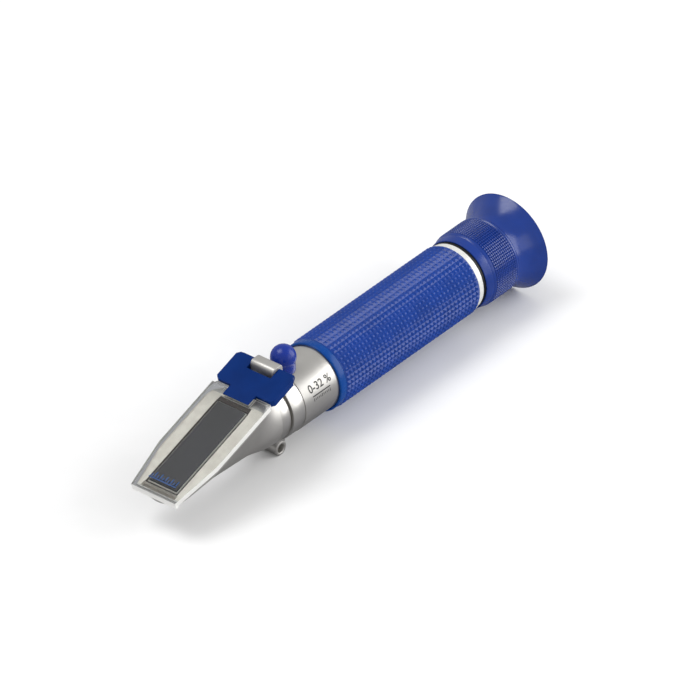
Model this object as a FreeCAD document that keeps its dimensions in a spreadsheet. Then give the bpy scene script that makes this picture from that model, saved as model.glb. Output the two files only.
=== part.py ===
import FreeCAD, Part
import math
import os
import re
import Sketcher

# Hand-held refractometer with automatic temperature compensation.
#
# Frame: the optical axis runs along X, the sample prism is at -X and the eyepiece at +X, +Z is up and
# the cover hinge turns about Y.  The origin is under the middle of the object on the surface that it
# lies on: it rests on the lug below the collar and on the rim of the eyecup.  Stations along X are in
# millimetres from that origin, and radii are from the optical axis.

V = FreeCAD.Vector
doc = FreeCAD.newDocument("refractometer")

# ---------------------------------------------------------------- driving dimensions

DIMENSIONS = [
    # alias, value, what it is
    ("axis_height", 18.8, "optical axis above the resting surface"),
    ("running_gap", 0.05, "radial clearance of a running or sliding fit"),
    ("bed_slope", 18.4, "slope of the prism bed and cover, degrees"),
    # stations along the tube
    ("nose_front", -97.0, "front face of the head casting"),
    ("neck_front", -52.0, "where the head starts to swell towards the tube"),
    ("band_front", -40.7, "front of the plain band"),
    ("groove_front", -36.6, "front of the dark groove"),
    ("collar_front", -35.8, "front of the collar"),
    ("tube_front", -29.2, "front end of the main tube"),
    ("spigot_rear", -20.6, "rear end of the casting's spigot"),
    ("trim_front", -10.8, "front of the smooth trim ring"),
    ("grip_front", -7.4, "front of the rubber grip"),
    ("grip_rear", 67.8, "rear of the rubber grip"),
    ("flange_front", 69.5, "rear end of the tube and front of the focus tube's flange"),
    ("flange_rear", 74.0, "rear of the focus tube's flange"),
    ("focus_front", 71.7, "front of the focus ring"),
    ("knurl_front", 76.7, "front of the focus ring's knurl"),
    ("focus_rear", 89.2, "rear of the focus ring and front of the eyecup"),
    ("rim_rear", 100.0, "rear of the eyecup's rim"),
    # radii
    ("nose_radius", 8.6, "round underside of the head at the nose"),
    ("neck_radius", 9.6, "round underside of the head at the neck"),
    ("band_radius", 11.7, "plain band"),
    ("groove_radius", 10.6, "bottom of the dark groove"),
    ("collar_radius", 12.4, "collar"),
    ("tube_radius", 12.6, "main tube"),
    ("tube_bore", 11.0, "bore of the main tube"),
    ("spigot_bore", 9.3, "bore of the casting's spigot"),
    ("light_bore", 7.6, "light passage through the casting"),
    ("trim_radius", 13.65, "smooth trim ring"),
    ("grip_radius", 14.05, "rubber grip over its pattern"),
    ("rear_ring_radius", 13.45, "plain ring behind the grip"),
    ("flange_radius", 13.2, "flange of the focus tube"),
    ("thread_radius", 11.6, "focus thread"),
    ("barrel_radius", 9.55, "sliding eyepiece barrel"),
    ("barrel_bore", 8.2, "bore of the eyepiece barrel"),
    ("focus_radius", 14.8, "focus ring over its knurl"),
    ("focus_front_radius", 13.9, "front edge of the focus ring"),
    ("cup_neck_radius", 14.45, "eyecup where it leaves the focus ring"),
    ("cup_rim_radius", 18.8, "rim of the eyecup"),
    ("cup_wall", 1.4, "wall of the eyecup"),
    # sample cover, prism and hinge
    ("cover_rear", -50.2, "rear edge of the cover plate's top face"),
    ("cover_rise", 14.1, "that edge above the optical axis"),
    ("cover_length", 51.8, "cover plate along the slope"),
    ("cover_width", 26.1, "cover plate across"),
    ("cover_tip_width", 20.0, "cover plate across at its tip"),
    ("cover_full_length", 31.4, "full-width stretch of the cover plate"),
    ("cover_thick", 2.1, "cover plate"),
    ("cover_step", 1.4, "low step behind the cover plate's top face"),
    ("step_sink", 0.8, "low step below the cover plate's top face"),
    ("lip_length", 1.1, "lip under the cover plate's tip, along the slope"),
    ("lip_drop", 0.8, "lip below the underside of the cover plate"),
    ("rim_margin", 1.0, "width of the raised rim round the tongue"),
    ("rim_rise", 0.3, "raised rim above the cover plate's top face"),
    ("bed_gap", 0.25, "gap between the cover plate and the casting"),
    ("prism_gap", 0.15, "film of sample between the cover plate and the prism"),
    ("prism_width", 13.4, "prism across"),
    ("prism_length", 41.6, "prism's face along the slope"),
    ("prism_rear", -5.4, "rear edge of the prism's face, along the slope"),
    ("prism_floor", -3.6, "underside of the prism, from the optical axis"),
    ("seal_side", 0.65, "seal beside and ahead of the prism's face"),
    ("seal_rear", 2.2, "seal behind the prism's face"),
    ("seal_depth", 1.2, "seal below the prism bed"),
    ("frame_width", 26.0, "hinge frame across"),
    ("frame_length", 14.0, "hinge frame along the slope"),
    ("frame_proud", 0.45, "hinge frame's top above the cover plate's top"),
    ("frame_thick", 2.75, "hinge frame"),
    ("frame_chamfer", 1.3, "cut corners of the hinge frame"),
    ("tongue_width", 11.5, "tongue of the hinge frame across"),
    ("tongue_length", 3.2, "tongue of the hinge frame, ahead of the cover's rear edge"),
    ("tongue_sink", 1.1, "tongue set into the cover plate"),
    ("notch_width", 11.0, "notch round the hinge knuckle"),
    ("notch_depth", 5.0, "notch round the hinge knuckle"),
    ("pin_station", -36.0, "hinge pin along X"),
    ("pin_rise", 17.0, "hinge pin above the optical axis"),
    ("pin_radius", 1.0, "hinge pin"),
    ("knuckle_radius", 3.3, "hinge knuckle of the casting"),
    ("knuckle_width", 10.5, "hinge knuckle of the casting"),
    ("boss_radius", 2.1, "hinge bosses of the frame"),
    # lug
    ("lug_station", -34.0, "lug along X"),
    ("lug_radius", 2.85, "lug"),
    ("lug_width", 10.0, "lug across"),
    ("lug_bore", 1.7, "eye through the lug"),
    # calibration and compensation
    ("screw_station", -26.6, "calibration screw along X"),
    ("screw_radius", 1.2, "calibration screw"),
    ("bush_radius", 2.0, "threaded bush of the calibration screw"),
    ("cap_radius", 4.75, "rubber cap over the calibration screw"),
    ("cap_rise", 22.1, "top of the rubber cap above the optical axis"),
    ("pivot_station", -6.6, "pivot of the lens arm along X"),
    ("pivot_radius", 0.8, "pivot pin of the lens arm"),
    ("cap_bore", 3.35, "inside of the rubber cap"),
    ("screw_tip", 8.6, "tip of the calibration screw above the optical axis"),
    ("arm_rise", 6.6, "underside of the lens arm above the optical axis"),
    ("arm_thick", 1.2, "lens arm"),
    ("cell_radius", 5.6, "cell of the objective lens"),
    ("reticle_front", 56.0, "front face of the scale glass"),
]

sheet = doc.addObject("Spreadsheet::Sheet", "Dim")
for row, (alias, number, meaning) in enumerate(DIMENSIONS, start=1):
    sheet.set("A%d" % row, str(number))
    sheet.setAlias("A%d" % row, alias)
    sheet.set("B%d" % row, meaning)
doc.recompute()


def cells(expression):
    """The expression with each alias, a word with an underscore, read from the sheet."""
    return re.sub(r"[a-z]+(?:_[a-z]+)+", lambda word: "Dim." + word.group(0), str(expression))


def number(expression):
    return float(sheet.evalExpression(cells(expression)))


# ---------------------------------------------------------------- ways of making a piece

def bind(thing, **expressions):
    for name, expression in expressions.items():
        thing.setExpression(name, cells(expression))


def place(thing, x="0", y="0", z="axis_height"):
    """Bind the position of a piece to the sheet."""
    thing.setExpression("Placement.Base.x", cells(x))
    thing.setExpression("Placement.Base.y", cells(y))
    thing.setExpression("Placement.Base.z", cells(z))
    return thing


def lay_on_slope(thing, y="0"):
    """Put a piece's own origin on the cover plate's top rear edge, its X up the slope."""
    thing.Placement = FreeCAD.Placement(V(), FreeCAD.Rotation(V(0, -1, 0), number("bed_slope")))
    thing.setExpression("Placement.Rotation.Angle", cells("bed_slope"))
    return place(thing, "cover_rear", y, "axis_height + cover_rise")


def fix_corner(sketch, edge, axis, expression):
    """Hold the start of one edge at a place on an axis of the sketch."""
    at = number(expression)
    if abs(at) < 1e-9:
        other_axis = -1 if axis == "DistanceY" else -2
        sketch.addConstraint(Sketcher.Constraint("PointOnObject", edge, 1, other_axis))
        return
    index = sketch.addConstraint(Sketcher.Constraint(axis, -1, 1, edge, 1, at))
    sketch.setExpression("Constraints[%d]" % index, cells(expression))


def draw_outline(sketch, corners):
    """A closed outline of straight edges, each corner held by two expressions."""
    points = [V(number(across), number(up), 0) for across, up in corners]
    count = len(points)
    first = len(sketch.Geometry)
    for index in range(count):
        sketch.addGeometry(Part.LineSegment(points[index], points[(index + 1) % count]))
    for index in range(count):
        following = first + (index + 1) % count
        sketch.addConstraint(Sketcher.Constraint("Coincident", first + index, 2, following, 1))
    for index, (across, up) in enumerate(corners):
        fix_corner(sketch, first + index, "DistanceX", across)
        fix_corner(sketch, first + index, "DistanceY", up)


def body_with_sketch(label, plane, corners):
    body = doc.addObject("PartDesign::Body", label)
    sketch = body.newObject("Sketcher::SketchObject", label + "_outline")
    support = [feature for feature in body.Origin.OriginFeatures if feature.Role == plane][0]
    sketch.AttachmentSupport = [(support, "")]
    sketch.MapMode = "FlatFace"
    draw_outline(sketch, corners)
    return body, sketch


def turned(label, corners):
    """A piece turned about the optical axis, from the stations and radii of its outline."""
    start = corners[0][0]
    local = [("(%s) - (%s)" % (station, start), radius) for station, radius in corners]
    body, sketch = body_with_sketch(label, "XZ_Plane", local)
    turn = body.newObject("PartDesign::Revolution", label + "_turn")
    turn.Profile = sketch
    turn.ReferenceAxis = (sketch, ["H_Axis"])
    turn.Angle = 360
    place(body, start)
    return body


def ring(label, front, rear, bore, radius):
    return turned(label, [(front, bore), (rear, bore), (rear, radius), (front, radius)])


def disc(label, front, rear, radius):
    return turned(label, [(front, "0"), (rear, "0"), (rear, radius), (front, radius)])


def slab(label, corners, bottom, thick):
    """A flat piece on the slope: its outline from above, its underside and its thickness."""
    body, sketch = body_with_sketch(label, "XY_Plane", corners)
    sketch.setExpression("AttachmentOffset.Base.z", cells(bottom))
    pad = body.newObject("PartDesign::Pad", label + "_pad")
    pad.Profile = sketch
    bind(pad, Length=thick)
    return lay_on_slope(body)


def side_profile(label, corners, width):
    """A piece of constant width across, drawn from the side."""
    body, sketch = body_with_sketch(label, "XZ_Plane", corners)
    pad = body.newObject("PartDesign::Pad", label + "_pad")
    pad.Profile = sketch
    pad.Midplane = True
    bind(pad, Length=width)
    return body


def cylinder(label, radius, length):
    rod = doc.addObject("Part::Cylinder", label)
    bind(rod, Radius=radius, Height=length)
    return rod


def cross_rod(label, radius, length, x, z, middle="0"):
    """A cylinder across the object, along Y, centred on the middle given."""
    rod = cylinder(label, radius, length)
    rod.Placement = FreeCAD.Placement(V(), FreeCAD.Rotation(V(1, 0, 0), -90))
    return place(rod, x, "%s - (%s) / 2" % (middle, length), z)


def upright(label, radius, length, x, z):
    return place(cylinder(label, radius, length), x, "0", z)


def block(label, size, corner):
    box = doc.addObject("Part::Box", label)
    bind(box, Length=size[0], Width=size[1], Height=size[2])
    return place(box, *corner)


def fuse(label, *pieces):
    whole = doc.addObject("Part::MultiFuse", label)
    whole.Shapes = list(pieces)
    whole.Refine = True
    return whole


def cut(label, base, *tools):
    result = doc.addObject("Part::Cut", label)
    result.Base = base
    result.Tool = tools[0] if len(tools) == 1 else fuse(label + "_tools", *tools)
    result.Refine = True
    return result


def common(label, one, other):
    result = doc.addObject("Part::MultiCommon", label)
    result.Shapes = [one, other]
    return result


# ---------------------------------------------------------------- head: casting, prism, hinge, lug

ARC_STEPS = 8    # corners of each half of the head's round underside
BED_LEVEL = "-cover_thick - bed_gap"
PRISM_LEVEL = "-cover_thick - prism_gap"


def bed_rise(station):
    """Height of the prism bed above the optical axis at a station."""
    return ("cover_rise + (%s - cover_rear) * tan(bed_slope) - (cover_thick + bed_gap) / cos(bed_slope)"
            % station)


def wedge(label, gap, top):
    """The prism's wedge, grown by a gap: sloped face, upright rear face, floor along the axis."""
    front = "prism_rear - prism_length - %s" % gap
    rear = "prism_rear + %s" % gap
    # depth of the floor below the optical axis turned into the slope's own directions
    drop = "(cover_rise - prism_floor + %s)" % gap
    front_floor = "-(%s) / cos(bed_slope) - (%s) * tan(bed_slope)" % (drop, front)
    rear_depth = "(%s + (%s) * sin(bed_slope) + (%s) * cos(bed_slope))" % (drop, rear, PRISM_LEVEL)
    rear_foot = "%s - %s * sin(bed_slope)" % (rear, rear_depth)
    rear_floor = "%s - %s * cos(bed_slope)" % (PRISM_LEVEL, rear_depth)
    corners = [(front, front_floor), (rear_foot, rear_floor), (rear, PRISM_LEVEL), (rear, top), (front, top)]
    if top == PRISM_LEVEL:
        corners.pop(3)
    return lay_on_slope(side_profile(label, corners, "prism_width + 2 * %s" % gap))


def head_shell():
    """The round, flaring body of the head with the collar and the spigot inside the tube."""
    return turned("head_round", [
        ("nose_front", "0"), ("spigot_rear", "0"), ("spigot_rear", "tube_bore - running_gap"),
        ("tube_front", "tube_bore - running_gap"), ("tube_front", "collar_radius"),
        ("collar_front", "collar_radius"), ("collar_front", "groove_radius"),
        ("groove_front", "groove_radius"), ("groove_front", "band_radius"),
        ("band_front", "band_radius"), ("band_front - 1.2", "band_radius - 0.25"),
        ("band_front - 5.5", "band_radius - 0.95"), ("neck_front", "neck_radius"),
        ("nose_front + 4", "nose_radius - 0.1"), ("nose_front + 1.2", "nose_radius - 0.6"),
        ("nose_front", "nose_radius - 1.6")])


def bed_section(station, half_width, top, lip, radius):
    """Corners of a cross section: flat top, short side wall, tangents onto the round underside."""
    corner_angle = math.atan2(top - lip, half_width)
    reach = math.hypot(top - lip, half_width)
    first = corner_angle - math.acos(min(1, radius / reach))
    right = [(half_width, top), (half_width, top - lip)]
    for step in range(ARC_STEPS):
        angle = first + (-math.pi / 2 - first) * step / (ARC_STEPS - 0.5)
        right.append((radius * math.cos(angle), radius * math.sin(angle)))
    whole = right + [(-across, up) for across, up in reversed(right)]
    height = number("axis_height")
    return [V(station, across, up + height) for across, up in whole]


def head_bed():
    """The wide top that carries the prism and the cover, blending into the round body."""
    nose, neck, band = number("nose_front"), number("neck_front"), number("band_front")
    taper = number("cover_rear - cover_full_length * cos(bed_slope)")
    wide = number("cover_width / 2 - 0.7")
    narrow = number("cover_tip_width / 2 - 0.7")
    small, large = number("nose_radius"), number("neck_radius")
    sections = [
        bed_section(nose, narrow - 0.8, number(bed_rise(nose)), 0.8, small - 1.6),
        bed_section(nose + 1.2, narrow, number(bed_rise(nose + 1.2)), 1.2, small - 0.6),
        bed_section(nose + 4, narrow + 0.4, number(bed_rise(nose + 4)), 1.6, small - 0.1),
        bed_section(taper, wide, number(bed_rise(taper)), 1.6, (small + large) / 2 - 0.1),
        bed_section(neck - 8, wide, number(bed_rise(neck - 8)), 1.6, large - 0.1),
        bed_section(neck, wide - 0.6, number(bed_rise(neck)), 1.8, large + 0.2),
        bed_section(neck + 3, wide - 1.9, 11.0, 1.6, large + 0.8),
        bed_section(neck + 6, wide - 4.2, 10.9, 1.0, large + 1.4),
        bed_section(band - 1.2, 5.4, 10.2, 0.05, number("band_radius - 0.25")),
        bed_section(band, 4.7, 10.7, 0.05, number("band_radius - 0.1"))]
    faces = []
    for front, rear in zip(sections, sections[1:]):
        for index in range(len(front)):
            following = (index + 1) % len(front)
            faces.append(Part.makeRuledSurface(Part.makeLine(front[index], front[following]),
                                               Part.makeLine(rear[index], rear[following])))
    for end in (sections[0], sections[-1]):
        faces.append(Part.Face(Part.makePolygon(end + end[:1])))
    solid = Part.makeSolid(Part.makeShell(faces))
    if solid.Volume < 0:
        solid.reverse()
    bed = doc.addObject("Part::Feature", "head_bed")
    bed.Shape = solid
    return bed


def head_casting():
    above_bed = slab("above_bed", [("-cover_length - 8", "-20"), ("2", "-20"), ("2", "20"),
                                   ("-cover_length - 8", "20")], BED_LEVEL, "20")
    front_recess = slab("front_recess", [
        ("prism_rear - prism_length - 2.6", "-6.2"), ("prism_rear - prism_length - 0.8", "-6.8"),
        ("prism_rear - prism_length - 0.8", "6.8"), ("prism_rear - prism_length - 2.6", "6.2")],
        BED_LEVEL + " - 0.7", "3")
    lug = cross_rod("lug", "lug_radius", "lug_width", "lug_station", "lug_radius")
    lug_web = block("lug_web", ("5", "lug_width", "6"), ("lug_station - 2.5", "-lug_width / 2", "lug_radius"))
    knuckle = cross_rod("knuckle", "knuckle_radius", "knuckle_width", "pin_station",
                        "axis_height + pin_rise")
    post = block("hinge_post", ("5", "knuckle_width", "6.6"),
                 ("pin_station - 2.5", "-knuckle_width / 2", "axis_height + 10.4"))
    outside = fuse("head_outside", head_shell(), head_bed(), lug, lug_web, knuckle, post)
    passage = disc("light_passage", "cover_rear - 7", "spigot_rear + 1", "light_bore")
    spigot_bore = disc("spigot_passage", "tube_front + 0.4", "spigot_rear + 1", "spigot_bore")
    eye = cross_rod("lug_eye", "lug_bore", "lug_width + 2", "lug_station", "lug_radius")
    pin_hole = cross_rod("pin_hole", "pin_radius", "knuckle_width + 2", "pin_station",
                         "axis_height + pin_rise")
    bush_hole = upright("bush_hole", "bush_radius", "6", "screw_station", "axis_height + 7")
    seal_groove = ring("seal_groove", "spigot_rear - 2.5", "spigot_rear - 1.3", "10", "13")
    return cut("head_casting", outside, above_bed, front_recess, wedge("prism_pocket", "0.05", "1"),
               seal_recess(), passage, spigot_bore, eye, pin_hole, bush_hole, seal_groove)


def round_prism(front, rear, side):
    """Corners of a rectangle round the prism's face, wider by the margins given."""
    low = "prism_rear - prism_length - %s" % front
    high = "prism_rear + %s" % rear
    half = "prism_width / 2 + %s" % side
    return [(low, "-(%s)" % half), (high, "-(%s)" % half), (high, half), (low, half)]


def seal_recess():
    return slab("seal_recess", round_prism("seal_side", "seal_rear", "seal_side"),
                BED_LEVEL + " - seal_depth", "3")


def prism_seal():
    """Potted frame round the prism's face, wider behind it."""
    whole = slab("seal_block", round_prism("seal_side", "seal_rear", "seal_side"),
                 BED_LEVEL + " - seal_depth", "seal_depth")
    window = slab("seal_window", round_prism("running_gap", "running_gap", "running_gap"),
                  BED_LEVEL + " - 2 * seal_depth", "3 * seal_depth")
    return cut("prism_seal", whole, window)


def cover_plate():
    """Clear plate with a low step at the rear, a raised rim round the tongue and a lip at the tip."""
    half = "cover_width / 2"
    tip = "cover_tip_width / 2"
    outline = [("-cover_length", "-(%s)" % tip), ("-cover_full_length", "-(%s)" % half),
               ("0", "-(%s)" % half), ("0", half), ("-cover_full_length", half), ("-cover_length", tip)]
    plate = slab("cover_sheet", outline, "-cover_thick", "cover_thick")
    step = slab("cover_step_piece", [("-1", "-(%s)" % half), ("cover_step", "-(%s) + 1" % half),
                                     ("cover_step", "%s - 1" % half), ("-1", half)],
                "-cover_thick", "cover_thick - step_sink")
    lip_rear = "-cover_length + lip_length"
    lip = slab("cover_lip", [("-cover_length", "-(%s)" % tip), (lip_rear, "-(%s) - 0.2" % tip),
                             (lip_rear, "%s + 0.2" % tip), ("-cover_length", tip)],
               "-cover_thick - lip_drop", "2 * lip_drop")
    rim_front = "-tongue_length - rim_margin"
    rim_half = "(tongue_width / 2 + rim_margin)"
    rim = slab("tongue_rim", [(rim_front, "-%s" % rim_half), ("0", "-%s" % rim_half), ("0", rim_half),
                              (rim_front, rim_half)], "-tongue_sink", "tongue_sink + rim_rise")
    pocket_front = "-tongue_length - running_gap"
    pocket_half = "(tongue_width / 2 + running_gap)"
    pocket_rear = "cover_step + 1"
    pocket = slab("tongue_pocket", [(pocket_front, "-%s" % pocket_half), (pocket_rear, "-%s" % pocket_half),
                                    (pocket_rear, pocket_half), (pocket_front, pocket_half)],
                  "-tongue_sink", "4")
    return cut("cover_plate", fuse("cover_blank", plate, step, lip, rim), pocket)


def cover_hinge_frame():
    """T-shaped frame that carries the cover plate, notched round the knuckle of the casting."""
    front = "(cover_step + 0.05)"
    rear = "(cover_step + frame_length)"
    half = "(frame_width / 2)"
    cut_corner = "frame_chamfer"
    notch = "(notch_width / 2)"
    outline = [
        (front, "-%s + %s" % (half, cut_corner)), ("%s + %s" % (front, cut_corner), "-%s" % half),
        ("%s - %s" % (rear, cut_corner), "-%s" % half), (rear, "-%s + %s" % (half, cut_corner)),
        (rear, "-%s" % notch), ("%s - notch_depth" % rear, "-%s" % notch),
        ("%s - notch_depth" % rear, notch), (rear, notch),
        (rear, "%s - %s" % (half, cut_corner)), ("%s - %s" % (rear, cut_corner), half),
        ("%s + %s" % (front, cut_corner), half), (front, "%s - %s" % (half, cut_corner))]
    wide = slab("frame_wide", outline, "frame_proud - frame_thick", "frame_thick")
    tongue_half = "tongue_width / 2"
    tongue = slab("frame_tongue", [("-tongue_length", "-(%s)" % tongue_half),
                                   ("cover_step + 1", "-(%s)" % tongue_half),
                                   ("cover_step + 1", tongue_half), ("-tongue_length", tongue_half)],
                  "-tongue_sink", "frame_proud + tongue_sink")
    boss_width = "(frame_width / 2 - notch_width / 2 - 1.8)"
    boss_middle = "(notch_width / 2 + %s / 2)" % boss_width
    bosses = [cross_rod("hinge_boss_%s" % side, "boss_radius", boss_width, "pin_station",
                        "axis_height + pin_rise", middle)
              for side, middle in (("left", boss_middle), ("right", "-" + boss_middle))]
    pin_hole = cross_rod("frame_pin_hole", "pin_radius + running_gap", "frame_width + 2", "pin_station",
                         "axis_height + pin_rise")
    return cut("cover_hinge_frame", fuse("frame_blank", wide, tongue, *bosses), pin_hole)


def hinge_pin():
    length = "(frame_width - 3.8)"
    return cross_rod("hinge_pin", "pin_radius", length, "pin_station", "axis_height + pin_rise")


# ---------------------------------------------------------------- main tube and grip

def main_tube():
    tube = ring("tube_blank", "tube_front", "flange_front", "tube_bore", "tube_radius")
    bush_hole = upright("tube_bush_hole", "bush_radius", "6", "screw_station", "axis_height + 9")
    bracket_holes = [bracket_screw("bracket_hole_%s" % side, turn, "tube_radius + 1")
                     for side, turn in BRACKET_TURNS]
    reticle_holes = [reticle_screw("reticle_hole_%s" % side, turn, "tube_radius + 1")
                     for side, turn in RETICLE_TURNS]
    return cut("main_tube", tube, bush_hole, *bracket_holes, *reticle_holes)


def cap_blank(label, radius, top, bottom):
    """An upright dome: a cylinder with a hemispherical top, down to a level inside the tube."""
    straight = upright(label + "_side", radius, "%s - (%s) - (%s)" % (top, radius, bottom),
                       "screw_station", "axis_height + %s" % bottom)
    dome = doc.addObject("Part::Sphere", label + "_dome")
    bind(dome, Radius=radius)
    place(dome, "screw_station", "0", "axis_height + %s - (%s)" % (top, radius))
    return fuse(label, straight, dome)


def calibration_cap():
    outside = cap_blank("cap_outside", "cap_radius", "cap_rise", "9")
    inside = upright("cap_inside", "cap_bore", "8.4", "screw_station", "axis_height + 9")
    saddle = disc("cap_saddle", "trim_front - 40", "trim_front", "tube_radius + 0.05")
    return cut("calibration_cap", outside, inside, saddle)


def calibration_bush():
    stem = upright("bush_stem", "bush_radius", "3.6", "screw_station", "axis_height + 9.6")
    head = upright("bush_head", "3.2", "1.6", "screw_station", "axis_height + 13")
    thread = upright("bush_thread", "screw_radius + running_gap", "9", "screw_station", "axis_height + 8")
    saddle = disc("bush_saddle", "screw_station - 6", "screw_station + 6", "tube_radius")
    flange = cut("bush_flange", head, saddle)
    return cut("calibration_bush", fuse("bush_blank", stem, flange), thread)


def calibration_screw():
    shank = upright("screw_shank", "screw_radius", "7", "screw_station", "axis_height + screw_tip")
    slot = block("screw_slot", ("4", "0.6", "2"),
                 ("screw_station - 2", "-0.3", "axis_height + 14.6"))
    return cut("calibration_screw", shank, slot)


def calibration_pad():
    return upright("calibration_pad", "1.1", "0.7", "screw_station",
                   "axis_height + arm_rise + arm_thick + running_gap")


# ---------------------------------------------------------------- compensation mechanism inside the tube

PIVOT_LEVEL = "axis_height + arm_rise + arm_thick / 2"
BRACKET_TURNS = (("left", 90), ("right", -90))
RETICLE_TURNS = (("top", 0), ("left", 120), ("right", -120))


def radial_rod(label, radius, length, start, station, turn):
    """A cylinder that points outwards from the optical axis, turned about it from straight up."""
    rod = cylinder(label, radius, length)
    rod.Placement = FreeCAD.Placement(V(), FreeCAD.Rotation(V(1, 0, 0), turn))
    angle = "%g" % turn
    return place(rod, station, "-(%s) * sin(%s)" % (start, angle),
                 "axis_height + (%s) * cos(%s)" % (start, angle))


def bracket_screw(label, turn, tip="tube_radius - 0.1"):
    return radial_rod(label, "0.9", "(%s) - 9.6" % tip, "9.6", "pivot_station + 4.2", turn)


def reticle_screw(label, turn, tip="tube_radius - 0.1"):
    return radial_rod(label, "0.8", "(%s) - 9.9" % tip, "9.9", "reticle_front - 4", turn)


def arm_bracket():
    """Ring inside the tube with a bridge across its top that holds the pivot pin."""
    front = "pivot_station - 2.2"
    bridge_level = "axis_height + 4.6"
    band = ring("bracket_band", front, "pivot_station + 6.2", "9.4", "tube_bore - running_gap")
    ears = [block("bracket_ear_%s" % side, ("4.4", "1.6", "4.9"), (front, y, bridge_level))
            for side, y in (("left", "3"), ("right", "-4.6"))]
    bridge = block("bracket_bridge", ("4.4", "9.2", "0.6"), (front, "-4.6", bridge_level))
    limit = disc("bracket_limit", "pivot_station - 4", "pivot_station + 8", "tube_bore - running_gap")
    pin_hole = cross_rod("bracket_pin_hole", "pivot_radius", "12", "pivot_station", PIVOT_LEVEL)
    holes = [bracket_screw("bracket_tap_%s" % side, turn, "tube_radius + 1")
             for side, turn in BRACKET_TURNS]
    body = common("bracket_body", fuse("bracket_blank", band, bridge, *ears), limit)
    return cut("arm_bracket", body, pin_hole, *holes)


def arm_pivot_pin():
    return cross_rod("arm_pivot_pin", "pivot_radius", "9.2", "pivot_station", PIVOT_LEVEL)


def lens_arm():
    """Rocker from under the calibration screw back to the bimetal strip."""
    bar = block("arm_bar", ("26.6", "4", "arm_thick"),
                ("screw_station - 1.8", "-2", "axis_height + arm_rise"))
    hub = cross_rod("arm_hub", "1.65", "4.8", "pivot_station", PIVOT_LEVEL)
    hole = cross_rod("arm_hole", "pivot_radius + running_gap", "8", "pivot_station", PIVOT_LEVEL)
    return cut("lens_arm", fuse("arm_blank", bar, hub), hole)


def arm_return_spring():
    """Leaf that pushes the front of the arm up against the calibration pad."""
    return place(side_profile("arm_return_spring", [
        ("-16.2", "5.75"), ("-12.6", "6.3"), ("-8.8", "5.45"), ("-4.8", "5.45"), ("-4.8", "5.2"),
        ("-8.8", "5.2"), ("-12.6", "6.05"), ("-16.2", "5.5")], "3"))


def bimetal_strip():
    """Thin two-metal strip, fixed under the rear of the arm, that carries the objective cell."""
    return block("bimetal_strip", ("16", "4", "0.5"),
                 ("pivot_station + 2.4", "-2", "axis_height + arm_rise - 0.5"))


def objective_cell():
    front = "pivot_station + 9"
    shell = ring("cell_shell", front, front + " + 7", "4.4", "cell_radius")
    counterbore = disc("cell_counterbore", front + " + 1.2", front + " + 8", "4.9")
    foot = block("cell_foot", ("7", "4", "1.2"), (front, "-2", "axis_height + arm_rise - 1.7"))
    return cut("objective_cell", fuse("cell_blank", shell, foot), counterbore)


def objective_lens():
    front = "pivot_station + 10.2"
    return turned("objective_lens", [
        (front, "0"), (front + " + 3.2", "0"), (front + " + 3", "1.6"), (front + " + 2.5", "3.2"),
        (front + " + 1.6", "4.85"), (front + " + 0.5", "4.85"), (front + " + 0.15", "2.6")])


def objective_retainer():
    return ring("objective_retainer", "pivot_station + 13", "pivot_station + 14.4", "3.9", "4.9")


def baffle():
    return ring("baffle", "30", "31", "6.5", "tube_bore - running_gap")


# ---------------------------------------------------------------- scale glass

def reticle_holder():
    outline = [("reticle_front - 6", "7.6"), ("reticle_front", "7.6"), ("reticle_front", "9.05"),
               ("reticle_front + 4", "9.05"), ("reticle_front + 4", "tube_bore - running_gap"),
               ("reticle_front - 6", "tube_bore - running_gap")]
    blank = turned("reticle_holder_blank", outline)
    holes = [reticle_screw("reticle_tap_%s" % side, turn, "tube_radius + 1")
             for side, turn in RETICLE_TURNS]
    return cut("reticle_holder", blank, *holes)


def reticle():
    return disc("reticle", "reticle_front", "reticle_front + 1.5", "9")


def reticle_retainer():
    return ring("reticle_retainer", "reticle_front + 1.5", "reticle_front + 3", "7.9", "9.05")


def bracket_screws():
    screws = [bracket_screw("bracket_screw_" + side, turn) for side, turn in BRACKET_TURNS]
    return fuse("bracket_screws", *screws)


def reticle_screws():
    screws = [reticle_screw("reticle_screw_" + side, turn) for side, turn in RETICLE_TURNS]
    return fuse("reticle_screws", *screws)


# ---------------------------------------------------------------- eyepiece and focusing

def focus_tube():
    """Fixed tube at the rear: bore for the sliding barrel, flange and focus thread."""
    blank = turned("focus_tube_blank", [
        ("flange_front - 8.5", "barrel_radius + running_gap"), ("81.5", "barrel_radius + running_gap"),
        ("81.5", "thread_radius"), ("flange_rear", "thread_radius"), ("flange_rear", "flange_radius"),
        ("flange_front", "flange_radius"), ("flange_front", "tube_bore - running_gap"),
        ("flange_front - 8.5", "tube_bore - running_gap")])
    hole = radial_rod("guide_hole", "0.8", "6", "9", "flange_front + 1.25", 180)
    return cut("focus_tube", blank, hole)


def guide_screw():
    return radial_rod("guide_screw", "0.8", "flange_radius - 8.7", "8.6", "flange_front + 1.25", 180)


def eyepiece_barrel():
    """Barrel that slides without turning: a slot runs along the guide screw."""
    blank = turned("barrel_blank", [
        ("64", "barrel_bore - 1"), ("70", "barrel_bore - 1"), ("70", "barrel_bore"),
        ("89.6", "barrel_bore"), ("89.6", "9.4"), ("88", "9.4"), ("88", "11.2"), ("86", "11.2"),
        ("86", "barrel_radius"), ("79.6", "barrel_radius"), ("79.6", "8.9"), ("78.4", "8.9"),
        ("78.4", "barrel_radius"), ("64", "barrel_radius")])
    slot = block("barrel_slot", ("7.2", "1.8", "3"), ("66.6", "-0.9", "axis_height - 11"))
    return cut("eyepiece_barrel", blank, slot)


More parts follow.
